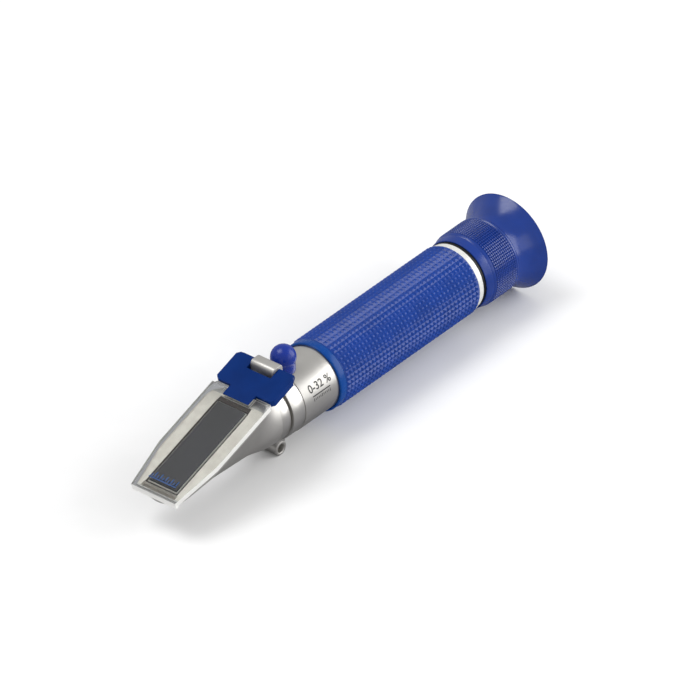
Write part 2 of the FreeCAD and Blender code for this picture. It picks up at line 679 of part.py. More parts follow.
def o_ring(label, station, ring_radius, cord_radius):
    torus = doc.addObject("Part::Torus", label)
    bind(torus, Radius1=ring_radius, Radius2=cord_radius)
    torus.Placement = FreeCAD.Placement(V(), FreeCAD.Rotation(V(0, 1, 0), 90))
    return place(torus, station)


def field_lens():
    return turned("field_lens", [("70", "0"), ("73.4", "0"), ("73.2", "2.8"), ("72.6", "5.4"),
                                 ("71.6", "8.15"), ("70.3", "8.15"), ("70", "6.4")])


def lens_spacer():
    return ring("lens_spacer", "73.5", "83.9", "7.1", "8.15")


def eye_lens():
    return turned("eye_lens", [("83.9", "0"), ("87.9", "0"), ("87.7", "3"), ("87", "6"), ("86.2", "8.15"),
                               ("85", "8.15"), ("84.2", "4.5")])


def lens_retainer():
    return ring("lens_retainer", "88", "89.5", "7.3", "8.15")


def focus_ring():
    """Knurled ring: skirt over the flange, focus thread, recess for the barrel's flange, spigot."""
    return turned("focus_ring", [
        ("focus_front", "flange_radius + 0.15"), ("77", "flange_radius + 0.15"), ("77", "thread_radius + 0.08"),
        ("84.6", "thread_radius + 0.08"), ("84.6", "9.75"), ("85.95", "9.75"), ("85.95", "11.25"),
        ("88.1", "11.25"), ("88.1", "11.95"), ("93", "11.95"), ("93", "12.6"), ("focus_rear", "12.6"),
        ("focus_rear", "focus_radius - 0.4"), ("focus_rear - 1.3", "focus_radius"),
        ("knurl_front", "focus_radius"), ("knurl_front", "focus_radius - 0.25"),
        ("focus_front", "focus_front_radius")])


def barrel_retainer():
    """Ring in the rear of the focus ring that keeps the barrel's flange in its recess."""
    return ring("barrel_retainer", "88.1", "89.3", "9.6", "11.9")


def eyecup():
    """Rubber eyecup: neck on the focus ring's spigot, then a trumpet-shaped flare."""
    middle = "(focus_rear + 4.5)"
    wall = "cup_wall"
    return turned("eyecup", [
        ("focus_rear", "12.65"), ("93.2", "12.65"), ("rim_rear - 1.6", "cup_rim_radius - 3.1"),
        ("rim_rear", "cup_rim_radius - 0.7 * %s" % wall), ("rim_rear", "cup_rim_radius"),
        ("rim_rear - 0.6", "cup_rim_radius - 0.1"), ("rim_rear - 3.1", "cup_rim_radius - 1.75"),
        ("%s + 1" % middle, "cup_neck_radius + 0.95"), ("%s - 2.3" % middle, "cup_neck_radius + 0.1"),
        ("focus_rear", "cup_neck_radius - 0.1")])


# ---------------------------------------------------------------- the object

NODES = [
    head_casting(),
    wedge("prism", "0", PRISM_LEVEL),
    prism_seal(),
    hinge_pin(),
    cover_plate(),
    cover_hinge_frame(),
    main_tube(),
    ring("front_ring", "trim_front", "grip_front", "tube_radius + 0.02", "trim_radius"),
    ring("grip_sleeve", "grip_front", "grip_rear", "tube_radius + 0.02", "grip_radius"),
    ring("rear_ring", "grip_rear", "flange_front", "tube_radius + 0.02", "rear_ring_radius"),
    o_ring("spigot_o_ring", "spigot_rear - 1.9", "10.47", "0.47"),
    calibration_bush(),
    calibration_screw(),
    calibration_pad(),
    calibration_cap(),
    arm_bracket(),
    bracket_screws(),
    arm_pivot_pin(),
    lens_arm(),
    arm_return_spring(),
    bimetal_strip(),
    objective_cell(),
    objective_lens(),
    objective_retainer(),
    baffle(),
    reticle_holder(),
    reticle(),
    reticle_retainer(),
    reticle_screws(),
    focus_tube(),
    guide_screw(),
    eyepiece_barrel(),
    o_ring("barrel_o_ring", "79", "9.22", "0.32"),
    field_lens(),
    lens_spacer(),
    eye_lens(),
    lens_retainer(),
    barrel_retainer(),
    focus_ring(),
    eyecup(),
]


def check_document():
    """Stop if any object failed to recompute or any sub-part has no valid solid."""
    for thing in doc.Objects:
        if "Invalid" in thing.State or "Error" in thing.State:
            raise RuntimeError("%s failed: %s" % (thing.Label, thing.State))
    for node in NODES:
        if node.Shape.isNull() or not node.Shape.isValid() or not node.Shape.Solids:
            raise RuntimeError("%s has no valid solid" % node.Label)


doc.recompute()
check_document()
os.makedirs("parts", exist_ok=True)
for node in NODES:
    node.Shape.exportStep("parts/%s.step" % node.Label)
    print("%-20s %2d solid  %8.1f mm3" % (node.Label, len(node.Shape.Solids), node.Shape.Volume))
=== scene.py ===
import math

import bmesh
import bpy
from mathutils import Matrix, Vector


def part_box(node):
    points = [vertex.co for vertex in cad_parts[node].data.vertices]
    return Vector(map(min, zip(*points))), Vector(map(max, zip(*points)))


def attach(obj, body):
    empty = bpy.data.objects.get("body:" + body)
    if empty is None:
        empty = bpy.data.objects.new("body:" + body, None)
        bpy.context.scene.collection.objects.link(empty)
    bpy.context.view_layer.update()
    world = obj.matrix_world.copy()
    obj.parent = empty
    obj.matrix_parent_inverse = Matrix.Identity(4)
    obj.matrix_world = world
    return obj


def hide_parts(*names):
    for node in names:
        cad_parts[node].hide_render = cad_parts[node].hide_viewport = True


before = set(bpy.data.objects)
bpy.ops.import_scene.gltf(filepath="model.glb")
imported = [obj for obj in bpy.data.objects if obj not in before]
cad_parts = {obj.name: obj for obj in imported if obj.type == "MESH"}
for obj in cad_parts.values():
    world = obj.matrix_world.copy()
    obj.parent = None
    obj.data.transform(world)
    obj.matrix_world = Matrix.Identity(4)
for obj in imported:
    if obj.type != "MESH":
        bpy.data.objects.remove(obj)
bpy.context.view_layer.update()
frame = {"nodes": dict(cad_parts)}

bl_info = {
    "name": "Hand Refractometer",
    "version": (1, 0, 0),
    "blender": (4, 5, 0),
    "location": "View3D > Sidebar > Refractometer",
    "description": "Builds the visible pieces of a hand refractometer around its packed frame",
    "category": "Object",
}

# ---------------------------------------------------------------- frame: millimetres about the optical axis

MM = 0.001


def middle(node):
    low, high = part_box(node)
    return (low + high) / 2


def span_mm(node):
    """Front and rear stations of a node along the optical axis, in millimetres."""
    low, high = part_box(node)
    return low.x / MM, high.x / MM


def radius_mm(node):
    """Outer radius of a node that is round about the optical axis, in millimetres."""
    low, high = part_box(node)
    return (high.y - low.y) / 2 / MM


AXIS_RISE = middle("main_tube").z / MM      # optical axis above the surface that the object lies on
TO_FRAME = Matrix.Translation((0, 0, AXIS_RISE * MM)) @ Matrix.Scale(MM, 4)

# head and cover, in millimetres about the optical axis
SLOPE = math.radians(18.4)                  # prism bed and cover plate
COVER_REAR = -50.2                          # rear edge of the cover plate's top face
COVER_RISE = 14.1                           # that edge above the optical axis
BED_DROP = 2.35                             # prism bed below the cover plate's top face, square to it
PRISM_REAR = -5.4                           # rear edge of the prism's face, along the slope
PRISM_LENGTH = 41.6
PRISM_HALF = 6.7
SEAL_SIDE = 0.65
SEAL_REAR = 2.2
POCKET_FLOOR = -3.7
PIN_STATION = -36.0
PIN_RISE = 17.0
LUG_STATION = -34.0
CAP_STATION = middle("calibration_cap").x / MM
TUBE_RADIUS = radius_mm("main_tube")


def on_slope(along, normal=0.0, across=0.0):
    """A point of the cover's own sloped frame, in millimetres about the optical axis."""
    return Vector((COVER_REAR + along * math.cos(SLOPE) - normal * math.sin(SLOPE), across,
                   COVER_RISE + along * math.sin(SLOPE) + normal * math.cos(SLOPE)))


UPWARD = on_slope(0, 1) - on_slope(0, 0)      # square to the cover plate


def bed_rise(station):
    """Height of the prism bed above the optical axis at a station."""
    return COVER_RISE + (station - COVER_REAR) * math.tan(SLOPE) - BED_DROP / math.cos(SLOPE)


def smooth_step(value, start, end):
    share = min(1.0, max(0.0, (value - start) / (end - start)))
    return share * share * (3 - 2 * share)


def mix(one, other, share):
    return one + (other - one) * share


# ---------------------------------------------------------------- colours

def linear(hex_colour):
    """An sRGB hex colour as linear red, green and blue."""
    values = [int(hex_colour[at:at + 2], 16) / 255 for at in (1, 3, 5)]
    return tuple(v / 12.92 if v <= 0.04045 else ((v + 0.055) / 1.055) ** 2.4 for v in values)


class RefractometerColours(bpy.types.PropertyGroup):
    """Colours that a user would change."""

    grip: bpy.props.FloatVectorProperty(
        name="Grip", description="Rubber of the knurled grip", subtype="COLOR", default=linear("#04388e"))
    focus: bpy.props.FloatVectorProperty(
        name="Focus ring", description="Focus ring and eyecup", subtype="COLOR", default=linear("#012f82"))
    trim: bpy.props.FloatVectorProperty(
        name="Trim ring", description="Smooth ring in front of the grip", subtype="COLOR",
        default=linear("#003f8a"))
    frame: bpy.props.FloatVectorProperty(
        name="Hinge frame", description="Frame that carries the cover plate", subtype="COLOR",
        default=linear("#00296a"))
    cap: bpy.props.FloatVectorProperty(
        name="Cap", description="Cap of the calibration screw", subtype="COLOR", default=linear("#0a2c8c"))
    metal: bpy.props.FloatVectorProperty(
        name="Metal", description="Head casting and main tube", subtype="COLOR", default=linear("#c4c2be"))


class RefractometerSizes(bpy.types.PropertyGroup):
    """Sizes and counts that a user would change."""

    grip_around: bpy.props.IntProperty(
        name="Grip rows around", description="Pyramids in one turn of the grip", default=44, min=24, max=120)
    grip_along: bpy.props.IntProperty(
        name="Grip rows along", description="Pyramids from end to end of the grip", default=37,
        min=10, max=90)
    grip_depth: bpy.props.FloatProperty(
        name="Grip depth", description="Height of the grip's pyramids", default=0.5 * MM, min=0, max=2 * MM,
        unit="LENGTH", precision=5)
    knurl_around: bpy.props.IntProperty(
        name="Knurl rows around", description="Ridges in one turn of the focus ring", default=88,
        min=40, max=160)
    knurl_along: bpy.props.IntProperty(
        name="Knurl rows along", description="Ridges along the focus ring's knurl", default=12, min=4, max=30)


def colours():
    return bpy.context.scene.refractometer_colours


def sizes():
    return bpy.context.scene.refractometer_sizes


# ---------------------------------------------------------------- materials

def add_node(tree, kind, settings=None, links=None):
    """Add a node, set its sockets and properties by name, and link sources to its sockets."""
    node = tree.nodes.new(kind)
    for name, value in (settings or {}).items():
        if name in node.inputs:
            node.inputs[name].default_value = value
        else:
            setattr(node, name, value)
    for name, source in (links or {}).items():
        tree.links.new(source, node.inputs[name])
    return node


def start_material(name, settings):
    """A material with a Principled shader and object coordinates; returns both and its tree."""
    material = bpy.data.materials.new(name)
    material.use_nodes = True
    tree = material.node_tree
    tree.nodes.clear()
    shader = add_node(tree, "ShaderNodeBsdfPrincipled", settings)
    add_node(tree, "ShaderNodeOutputMaterial", links={"Surface": shader.outputs["BSDF"]})
    coordinates = add_node(tree, "ShaderNodeTexCoord")
    return material, tree, shader, coordinates.outputs["Object"]


def grain(tree, place, size_mm, detail=2.0):
    """Fine noise whose lumps are about size_mm across."""
    return add_node(tree, "ShaderNodeTexNoise", {"Scale": 1 / (size_mm * MM), "Detail": detail},
                    {"Vector": place}).outputs["Fac"]


def spread(tree, value, low, high):
    """Turn a noise value into a range around its middle."""
    return add_node(tree, "ShaderNodeMapRange",
                    {"From Min": 0.3, "From Max": 0.7, "To Min": low, "To Max": high},
                    {"Value": value}).outputs["Result"]


def tint(tree, value, dark, light):
    """A colour between two colours, chosen by a noise value."""
    ramp = add_node(tree, "ShaderNodeValToRGB", links={"Fac": value})
    ramp.color_ramp.elements[0].position = 0.35
    ramp.color_ramp.elements[1].position = 0.65
    ramp.color_ramp.elements[0].color = (*dark, 1)
    ramp.color_ramp.elements[1].color = (*light, 1)
    return ramp.outputs["Color"]


def bump(tree, shader, height, depth_mm, strength=1.0):
    values = {"Strength": strength, "Distance": depth_mm * MM}
    node = add_node(tree, "ShaderNodeBump", values, {"Height": height})
    tree.links.new(node.outputs["Normal"], shader.inputs["Normal"])


def paint(tree, shader, height, dark, light):
    """Let the base colour follow the grain from one shade to the other."""
    tree.links.new(tint(tree, height, dark, light), shader.inputs["Base Color"])


def roughen(tree, shader, height, low, high):
    """Let the roughness follow the grain."""
    tree.links.new(spread(tree, height, low, high), shader.inputs["Roughness"])


def shade(colour, factor):
    return tuple(min(1.0, channel * factor) for channel in colour)


def cast_aluminium():
    """Die-cast aluminium, bead blasted and lacquered: broad soft highlights, a faint grain."""
    material, tree, shader, place = start_material("cast_aluminium_bead_blasted", {"Metallic": 1.0})
    metal = tuple(colours().metal)
    paint(tree, shader, grain(tree, place, 6.0), shade(metal, 0.96), metal)
    roughen(tree, shader, grain(tree, place, 1.2), 0.46, 0.52)
    bump(tree, shader, grain(tree, place, 0.22, 3.0), 0.02, 0.35)
    return material


def milled_top_with_painted_highlight():
    """Milled flat of the prism bed, brighter than the cast skin round it: partly the milled finish, partly a
    painted highlight for the light the flat top catches.
    """
    material, tree, shader, place = start_material("milled_flat_painted_highlight", {"Metallic": 1.0})
    paint(tree, shader, grain(tree, place, 3.0), linear("#dfd9cf"), linear("#e9e4da"))
    roughen(tree, shader, grain(tree, place, 0.8), 0.46, 0.54)
    return material


def anodised_aluminium():
    """Turned tube, satin anodised: tighter highlight than the casting, faint turning lines."""
    material, tree, shader, place = start_material("anodised_aluminium_satin", {"Metallic": 1.0})
    metal = tuple(colours().metal)
    paint(tree, shader, grain(tree, place, 8.0), shade(metal, 0.97), shade(metal, 1.02))
    stretched = add_node(tree, "ShaderNodeMapping", {"Scale": (1.0, 0.02, 0.02)}, {"Vector": place})
    lines = grain(tree, stretched.outputs["Vector"], 0.25, 2.0)
    roughen(tree, shader, lines, 0.3, 0.36)
    bump(tree, shader, lines, 0.01, 0.25)
    return material


def moulded_rubber(name, colour, roughness, gloss=0.35):
    """Injection-moulded rubber-like plastic: even colour, soft gloss, fine mould grain."""
    material, tree, shader, place = start_material(name, {"IOR": 1.5, "Specular IOR Level": gloss})
    paint(tree, shader, grain(tree, place, 9.0), shade(colour, 0.9), shade(colour, 1.06))
    roughen(tree, shader, grain(tree, place, 1.5), roughness - 0.03, roughness + 0.04)
    bump(tree, shader, grain(tree, place, 0.3, 3.0), 0.012, 0.3)
    return material


def grip_rubber():
    """Thermoplastic rubber of the grip, moulded: glossy enough for a bright point on each pyramid."""
    return moulded_rubber("grip_rubber_moulded", tuple(colours().grip), 0.27, 0.35)


def focus_plastic():
    """Soft-touch ABS of the focus ring and eyecup, moulded: a clear highlight, still soft."""
    return moulded_rubber("focus_abs_soft_touch", tuple(colours().focus), 0.22, 0.5)


def cap_rubber():
    """Silicone rubber cap, polished mould: a small bright highlight."""
    return moulded_rubber("cap_silicone_polished", tuple(colours().cap), 0.25)


def frame_plastic():
    """ABS hinge frame, moulded with a fine spark-eroded grain."""
    return moulded_rubber("frame_abs_moulded", tuple(colours().frame), 0.36, 0.08)


def trim_plastic():
    """Acetal trim ring, smooth turned: brighter cyan blue."""
    return moulded_rubber("trim_acetal_smooth", tuple(colours().trim), 0.26, 0.2)


def silver_paint():
    """Painted ring behind the grip: pale silver, satin."""
    material, tree, shader, place = start_material("ring_silver_paint", {"Metallic": 0.2})
    paint(tree, shader, grain(tree, place, 0.4), linear("#d8d8d4"), linear("#e6e6e2"))
    roughen(tree, shader, grain(tree, place, 1.0), 0.32, 0.4)
    return material


def black_plastic():
    """Black glass-filled nylon of the focus tube and barrel: matte, slightly mottled."""
    return moulded_rubber("black_nylon_moulded", linear("#0b0c10"), 0.5)


def recess_painted_shade():
    """Painted shade in the recess ahead of the prism: a darker warm grey, matte."""
    return moulded_rubber("recess_painted_shade_grey", linear("#8d857a"), 0.6, 0.2)


def ground_bevel_painted_highlight():
    """Bevels of the prism, ground and matte, in a pale colour: the thin light outline is partly the ground
    glass, partly a painted highlight.
    """
    return moulded_rubber("prism_bevel_painted_highlight", linear("#e0dcd2"), 0.5, 0.3)


def potting_and_painted_shade():
    """Dark brown potting compound round the prism: matte; its wide dark band behind the prism is partly
    painted shade for the pocket's shaded wall.
    """
    return moulded_rubber("potting_compound_dark_painted_shade", linear("#2c1c12"), 0.55, 0.2)


def clear_acrylic():
    """Moulded clear acrylic: the faces pass nearly all light, with a sharp gloss."""
    material, tree, shader, place = start_material(
        "acrylic_clear_moulded", {"IOR": 1.49, "Transmission Weight": 1.0,
                                  "Base Color": (*linear("#f6f8f8"), 1)})
    roughen(tree, shader, grain(tree, place, 4.0), 0.0, 0.02)
    return material


def satin_edge_painted_highlight():
    """Side faces of the acrylic plate, satin, in milky white: a painted highlight for the light that the
    clear plate's edges carry.
    """
    material, tree, shader, place = start_material(
        "acrylic_edge_painted_highlight",
        {"IOR": 1.49, "Transmission Weight": 0.25, "Base Color": (*linear("#fbfaf7"), 1)})
    roughen(tree, shader, grain(tree, place, 2.0), 0.3, 0.42)
    return material


def prism_glass():
    """Flint glass prism seen against its black rear faces: dark grey, mirror polished."""
    material, tree, shader, place = start_material("prism_flint_glass", {"IOR": 1.62})
    paint(tree, shader, grain(tree, place, 14.0), linear("#121018"), linear("#1a1724"))
    roughen(tree, shader, grain(tree, place, 5.0), 0.05, 0.1)
    return material


def lens_glass():
    """Coated lens glass: dark inside, with a faint magenta-green coating tint."""
    material, tree, shader, place = start_material(
        "lens_glass_coated", {"IOR": 1.52, "Coat Weight": 0.6, "Coat Roughness": 0.02, "Coat IOR": 1.7})
    paint(tree, shader, grain(tree, place, 10.0), linear("#0c0f14"), linear("#12161c"))
    roughen(tree, shader, grain(tree, place, 4.0), 0.03, 0.06)
    return material


def turned_metal(name, colour, roughness):
    """Turned metal, as machined: fine lines round the part."""
    material, tree, shader, place = start_material(name, {"Metallic": 1.0})
    paint(tree, shader, grain(tree, place, 1.0), shade(colour, 0.9), colour)
    roughen(tree, shader, grain(tree, place, 0.3), roughness - 0.05, roughness + 0.05)
    return material


def steel():
    return turned_metal("stainless_steel_turned", linear("#b9b8b4"), 0.3)


def brass():
    return turned_metal("brass_turned", linear("#c9a35a"), 0.3)


def black_metal():
    """Aluminium, black anodised, inside the light path: matte."""
    return turned_metal("black_anodised_aluminium", linear("#17171a"), 0.55)


def printed_ink(name, colour):
    """Pad-printed ink: flat colour, slightly broken at the edge of each lump."""
    material, tree, shader, place = start_material(name, {"IOR": 1.5})
    paint(tree, shader, grain(tree, place, 0.3), colour, shade(colour, 1.25))
    roughen(tree, shader, grain(tree, place, 0.5), 0.4, 0.5)
    return material


def dark_ink():
    return printed_ink("pad_print_dark", linear("#1b1a17"))


def blue_ink():
    return printed_ink("pad_print_blue", linear("#0c3f78"))


def floor_paper():
    """Seamless studio paper, nearly white to the camera; in reflections it is painted grey, a painted shade
    standing in for dark flags round the object.
    """
    material, tree, shader, place = start_material("studio_paper_white_painted_reflection_shade", {"Roughness": 0.9})
    paper = tint(tree, grain(tree, place, 30.0), linear("#f4f4f4"), linear("#f7f7f7"))
    ray = add_node(tree, "ShaderNodeLightPath")
    mixer = add_node(tree, "ShaderNodeMix", {"data_type": "RGBA"})
    share, seen, painted_reflection_shade = mixer.inputs[0], mixer.inputs[6], mixer.inputs[7]      # the colour sockets
    # painted shade in reflections: glossy rays see the grey instead of the white paper
    tree.links.new(ray.outputs["Is Glossy Ray"], share)
    tree.links.new(paper, seen)
    painted_reflection_shade.default_value = (*linear("#9c9c9f"), 1)
    tree.links.new(mixer.outputs[2], shader.inputs["Base Color"])
    return material


MADE = {}


def finish_of(maker):
    """Each material is made once."""
    if maker not in MADE:
        MADE[maker] = maker()
    return MADE[maker]


# ---------------------------------------------------------------- shaping

def turned(outline, steps, centre=(0, 0, 0), axis=(1, 0, 0), closed=True):
    """Spin an outline about an axis. Its points are (along the axis, radius), in millimetres."""
    shape = bmesh.new()
    along = Vector(axis)
    outward = Vector((0, 0, 1)) if abs(along.z) < 0.5 else Vector((1, 0, 0))
    points = [shape.verts.new(Vector(centre) + along * at + outward * radius) for at, radius in outline]
    pairs = list(zip(points, points[1:]))
    if closed:
        pairs.append((points[-1], points[0]))
    edges = [shape.edges.new(pair) for pair in pairs]
    bmesh.ops.spin(shape, geom=points + edges, cent=centre, axis=axis, angle=math.tau, steps=steps,
                   use_merge=True)
    bmesh.ops.remove_doubles(shape, verts=shape.verts, dist=1e-4)
    bmesh.ops.recalc_face_normals(shape, faces=shape.faces)
    return shape


def soften(shape, width, segments=2, angle=28):
    """Round every edge whose faces meet at more than an angle."""
    sharp = [edge for edge in shape.edges
             if len(edge.link_faces) == 2 and edge.calc_face_angle() > math.radians(angle)]
    bmesh.ops.bevel(shape, geom=sharp, offset=width, offset_type="OFFSET", segments=segments, profile=0.5,
                    affect="EDGES", clamp_overlap=True, material=-1)


def box_shape(low, high):
    shape = bmesh.new()
    size = Vector(high) - Vector(low)
    centre = (Vector(high) + Vector(low)) / 2
    bmesh.ops.create_cube(shape, size=1.0, matrix=Matrix.Translation(centre) @ Matrix.Diagonal((*size, 1)))
    return shape


def join_shapes(shapes):
    """Put several closed shells into one shape; a number given with a shell is its material's."""
    whole = bmesh.new()
    for index, shape in shapes:
        for face in shape.faces:
            if index is not None:
                face.material_index = index
        mesh = bpy.data.meshes.new("part")
        shape.to_mesh(mesh)
        shape.free()
        whole.from_mesh(mesh)
        bpy.data.meshes.remove(mesh)
    return whole


def merged_copy(node):
    """A CAD node's mesh as a clean shape, in millimetres about the optical axis."""
    shape = bmesh.new()
    shape.from_mesh(frame["nodes"][node].data)
    bmesh.ops.transform(shape, matrix=TO_FRAME.inverted(), verts=shape.verts)
    bmesh.ops.remove_doubles(shape, verts=shape.verts, dist=0.002)
    bmesh.ops.dissolve_limit(shape, angle_limit=math.radians(1.0), verts=shape.verts, edges=shape.edges)
    return shape


def add_piece(name, shape, body, materials, nodes=(), smooth=32):
    """Turn a shape in millimetres into a finished piece that rides on a body."""
    bmesh.ops.transform(shape, matrix=TO_FRAME, verts=shape.verts)
    mesh = bpy.data.meshes.new(name)
    shape.to_mesh(mesh)
    shape.free()
    mesh.polygons.foreach_set("use_smooth", [True] * len(mesh.polygons))
    mesh.set_sharp_from_angle(angle=math.radians(smooth))
    for maker in materials:
        mesh.materials.append(finish_of(maker))
    piece = bpy.data.objects.new(name, mesh)
    bpy.context.scene.collection.objects.link(piece)
    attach(piece, body)
    if nodes:
        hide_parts(*nodes)
    return piece


def dress(node, maker):
    """Give a CAD node that stays its finish."""
    mesh = frame["nodes"][node].data
    mesh.materials.clear()
    mesh.materials.append(finish_of(maker))


# ---------------------------------------------------------------- head

NOSE = -97.0
RECESS_FRONT = -96.5            # front of the shallow recess ahead of the prism
RECESS_DEPTH = 0.7
BED_REAR = -56.0                # where the flat bed starts to turn into the round band
BED_HALF = 12.45                # half width of the bed along the prism
NOSE_HALF = 9.3                 # and at the nose
COVER_FULL = 31.4               # full-width stretch of the cover plate, along the slope
BAND_FRONT = -40.7
GROOVE_FRONT = -36.6
COLLAR_FRONT = -35.8
BAND_RADIUS = 11.7
GROOVE_RADIUS = 10.5
COLLAR_RADIUS = 12.4
LUG_RADIUS = 2.85
LUG_BORE = 1.7
LUG_HALF = 5.0
KNUCKLE_HALF = 5.25
SIDE_STEPS = 5
ARC_STEPS = 14

# rows of a cross section, counted from the middle of the top
POCKET_ROW = 2                  # last row over the prism and its seal
EDGE_ROW = 5                    # corner of the flat bed

# finishes of the head, in the order of its material slots
CAST, ANODISED, MILLED_PAINTED_HIGHLIGHT, RECESS_PAINTED_SHADE = range(4)


def head_half_width(station):
    """Half width of the head's flat top: full along the prism, narrower to the nose."""
    taper = COVER_REAR - COVER_FULL * math.cos(SLOPE)
    if station >= taper:
        return BED_HALF
    return mix(BED_HALF, NOSE_HALF, (taper - station) / (taper - NOSE))


def head_round(station):
    """Radius of the head's round underside."""
    radius = mix(8.6, 9.7, smooth_step(station, NOSE, -50))
    radius -= 1.7 * (1 - min(1.0, (station - NOSE) / 3.4)) ** 2
    return mix(radius, BAND_RADIUS, smooth_step(station, -57, BAND_FRONT + 2))


def head_profile(station):
    """Right half of a cross section, from the middle of the top round to the middle underneath."""
    width = head_half_width(station)
    top = min(bed_rise(station), 11.45)
    radius = head_round(station)
    lip = min(1.5, 0.9 + 0.1 * (station - NOSE))
    tops = [0.0, PRISM_HALF * 0.5, PRISM_HALF + SEAL_SIDE, PRISM_HALF + SEAL_SIDE + 0.35, width - 0.7, width]
    points = [(across, top) for across in tops]
    reach = math.hypot(width, top - lip)
    start = math.atan2(top - lip, width) - math.acos(min(1.0, radius / reach))
    foot = (radius * math.cos(start), radius * math.sin(start))
    for step in range(SIDE_STEPS):
        share = step / SIDE_STEPS
        points.append((mix(width, foot[0], share), mix(top - lip, foot[1], share)))
    for step in range(ARC_STEPS + 1):
        angle = mix(start, -math.pi / 2, step / ARC_STEPS)
        points.append((radius * math.cos(angle), radius * math.sin(angle)))
    share = smooth_step(station, BED_REAR, BAND_FRONT + 1.5)
    if share > 0:
        count = len(points) - 1
        for index, (across, up) in enumerate(points):
            turn = math.pi / 2 - math.pi * index / count
            circle = (BAND_RADIUS * math.cos(turn), BAND_RADIUS * math.sin(turn))
            points[index] = (mix(across, circle[0], share), mix(up, circle[1], share))
    return points


def head_stations():
    """Stations along the head, closer together at the nose, the pocket's ends and the flare."""
    pocket_front = on_slope(PRISM_REAR - PRISM_LENGTH - SEAL_SIDE, -BED_DROP).x
    pocket_rear = on_slope(PRISM_REAR + SEAL_REAR, -BED_DROP).x
    nose = [NOSE, NOSE + 0.12, NOSE + 0.24]
    recess = [RECESS_FRONT - 0.15, RECESS_FRONT, pocket_front - 0.25, pocket_front]
    bed = [mix(pocket_front, pocket_rear, step / 16) for step in range(1, 16)]
    flare = [mix(pocket_rear, BAND_FRONT, step / 16) for step in range(17)]
    return nose + recess + bed + flare, pocket_front, pocket_rear


def head_shape():
    """Round-bellied casting with a flat sloped top, a pocket for the prism and a recess before it."""
    stations, pocket_front, pocket_rear = head_stations()
    profiles = [head_profile(station) for station in stations]
    columns, depth = len(stations), len(profiles[0])
    shape = bmesh.new()
    bmesh.ops.create_grid(shape, x_segments=columns - 1, y_segments=depth - 1, size=1)
    row_of = shape.verts.layers.int.new("row")
    recess = [at for at, station in enumerate(stations) if RECESS_FRONT - 0.05 < station < pocket_front - 0.1]
    for point in shape.verts:
        column = round((point.co.x + 1) / 2 * (columns - 1))
        row = round((point.co.y + 1) / 2 * (depth - 1))
        across, up = profiles[column][row]
        if column in recess and row <= POCKET_ROW:
            up -= RECESS_DEPTH
        point[row_of] = row
        point.co = (stations[column], across, up)
    gone = [face for face in shape.faces
            if pocket_front < face.calc_center_median().x < pocket_rear
            and all(point[row_of] <= POCKET_ROW for point in face.verts)]
    bmesh.ops.delete(shape, geom=gone, context="FACES")
    bmesh.ops.mirror(shape, geom=shape.verts[:] + shape.edges[:] + shape.faces[:], axis="Y", merge_dist=1e-3)
    bmesh.ops.remove_doubles(shape, verts=shape.verts, dist=1e-3)
    ends = [edge for edge in shape.edges if edge.is_boundary
            and (edge.verts[0].co.x < NOSE + 0.01 or edge.verts[0].co.x > BAND_FRONT - 0.01)]
    bmesh.ops.holes_fill(shape, edges=ends, sides=0)
    rim = [edge for edge in shape.edges if edge.is_boundary]
    walls = bmesh.ops.extrude_edge_only(shape, edges=rim)["geom"]
    floor = [item for item in walls if isinstance(item, bmesh.types.BMVert)]
    for point in floor:
        point.co.z = POCKET_FLOOR
    bmesh.ops.holes_fill(shape, edges=[edge for edge in shape.edges if edge.is_boundary], sides=0)
    bmesh.ops.recalc_face_normals(shape, faces=shape.faces)
    for face in shape.faces:
        outermost = max(point[row_of] for point in face.verts)
        at = face.calc_center_median()
        # the flat top takes the brighter milled colour, partly a painted highlight
        if NOSE + 0.5 < at.x < BED_REAR + 4 and outermost <= EDGE_ROW:
            # painted shade: the recess ahead of the prism is coloured darker grey
            in_recess = at.x < pocket_front - 0.2 and outermost <= POCKET_ROW
            face.material_index = RECESS_PAINTED_SHADE if in_recess else MILLED_PAINTED_HIGHLIGHT
    corner = [edge for edge in shape.edges
              if all(point[row_of] in (EDGE_ROW, EDGE_ROW + 1) for point in edge.verts)
              and edge.verts[0][row_of] == edge.verts[1][row_of]
              and max(point.co.x for point in edge.verts) < BED_REAR]
    bmesh.ops.bevel(shape, geom=corner, offset=0.3, segments=2, profile=0.5, affect="EDGES",
                    clamp_overlap=True, material=-1)
    return shape


def collar_shape():
    """Plain band, dark groove and bright collar, turned in one with the casting."""
    rear = span_mm("main_tube")[0]
    shape = turned([
        (BAND_FRONT - 0.5, 8.0), (rear, 8.0), (rear, COLLAR_RADIUS), (COLLAR_FRONT, COLLAR_RADIUS),
        (COLLAR_FRONT, GROOVE_RADIUS), (GROOVE_FRONT, GROOVE_RADIUS), (GROOVE_FRONT, BAND_RADIUS + 0.05),
        (BAND_FRONT - 0.5, BAND_RADIUS + 0.05)], 128)
    soften(shape, 0.22)
    return shape


def lug_shapes():
    """Lanyard eye under the collar and the web that joins it to the casting."""
    half, bottom = LUG_HALF, -AXIS_RISE
    outline = [(-half, LUG_BORE), (half, LUG_BORE), (half, LUG_RADIUS), (-half, LUG_RADIUS)]
    eye = turned(outline, 48, centre=(LUG_STATION, 0, bottom + LUG_RADIUS), axis=(0, 1, 0))
    soften(eye, 0.35, 3)
    web = box_shape((LUG_STATION - 2.5, -half + 0.1, bottom + 4.6), (LUG_STATION + 2.5, half - 0.1, -9.5))
    soften(web, 0.5, 3)
    return [eye, web]


def knuckle_shapes():
    """Hinge knuckle: a block with a rounded crown that the pin runs through."""
    half = KNUCKLE_HALF
    block = box_shape((PIN_STATION - 2.7, -half, 9.5), (PIN_STATION + 2.7, half, PIN_RISE + 3.2))
    crown = [edge for edge in block.edges
             if all(point.co.z > PIN_RISE for point in edge.verts)
             and abs(edge.verts[0].co.y - edge.verts[1].co.y) > half]
    bmesh.ops.bevel(block, geom=crown, offset=1.5, segments=6, profile=0.5, affect="EDGES", material=-1)
    soften(block, 0.3, 2, 50)
    return [block]


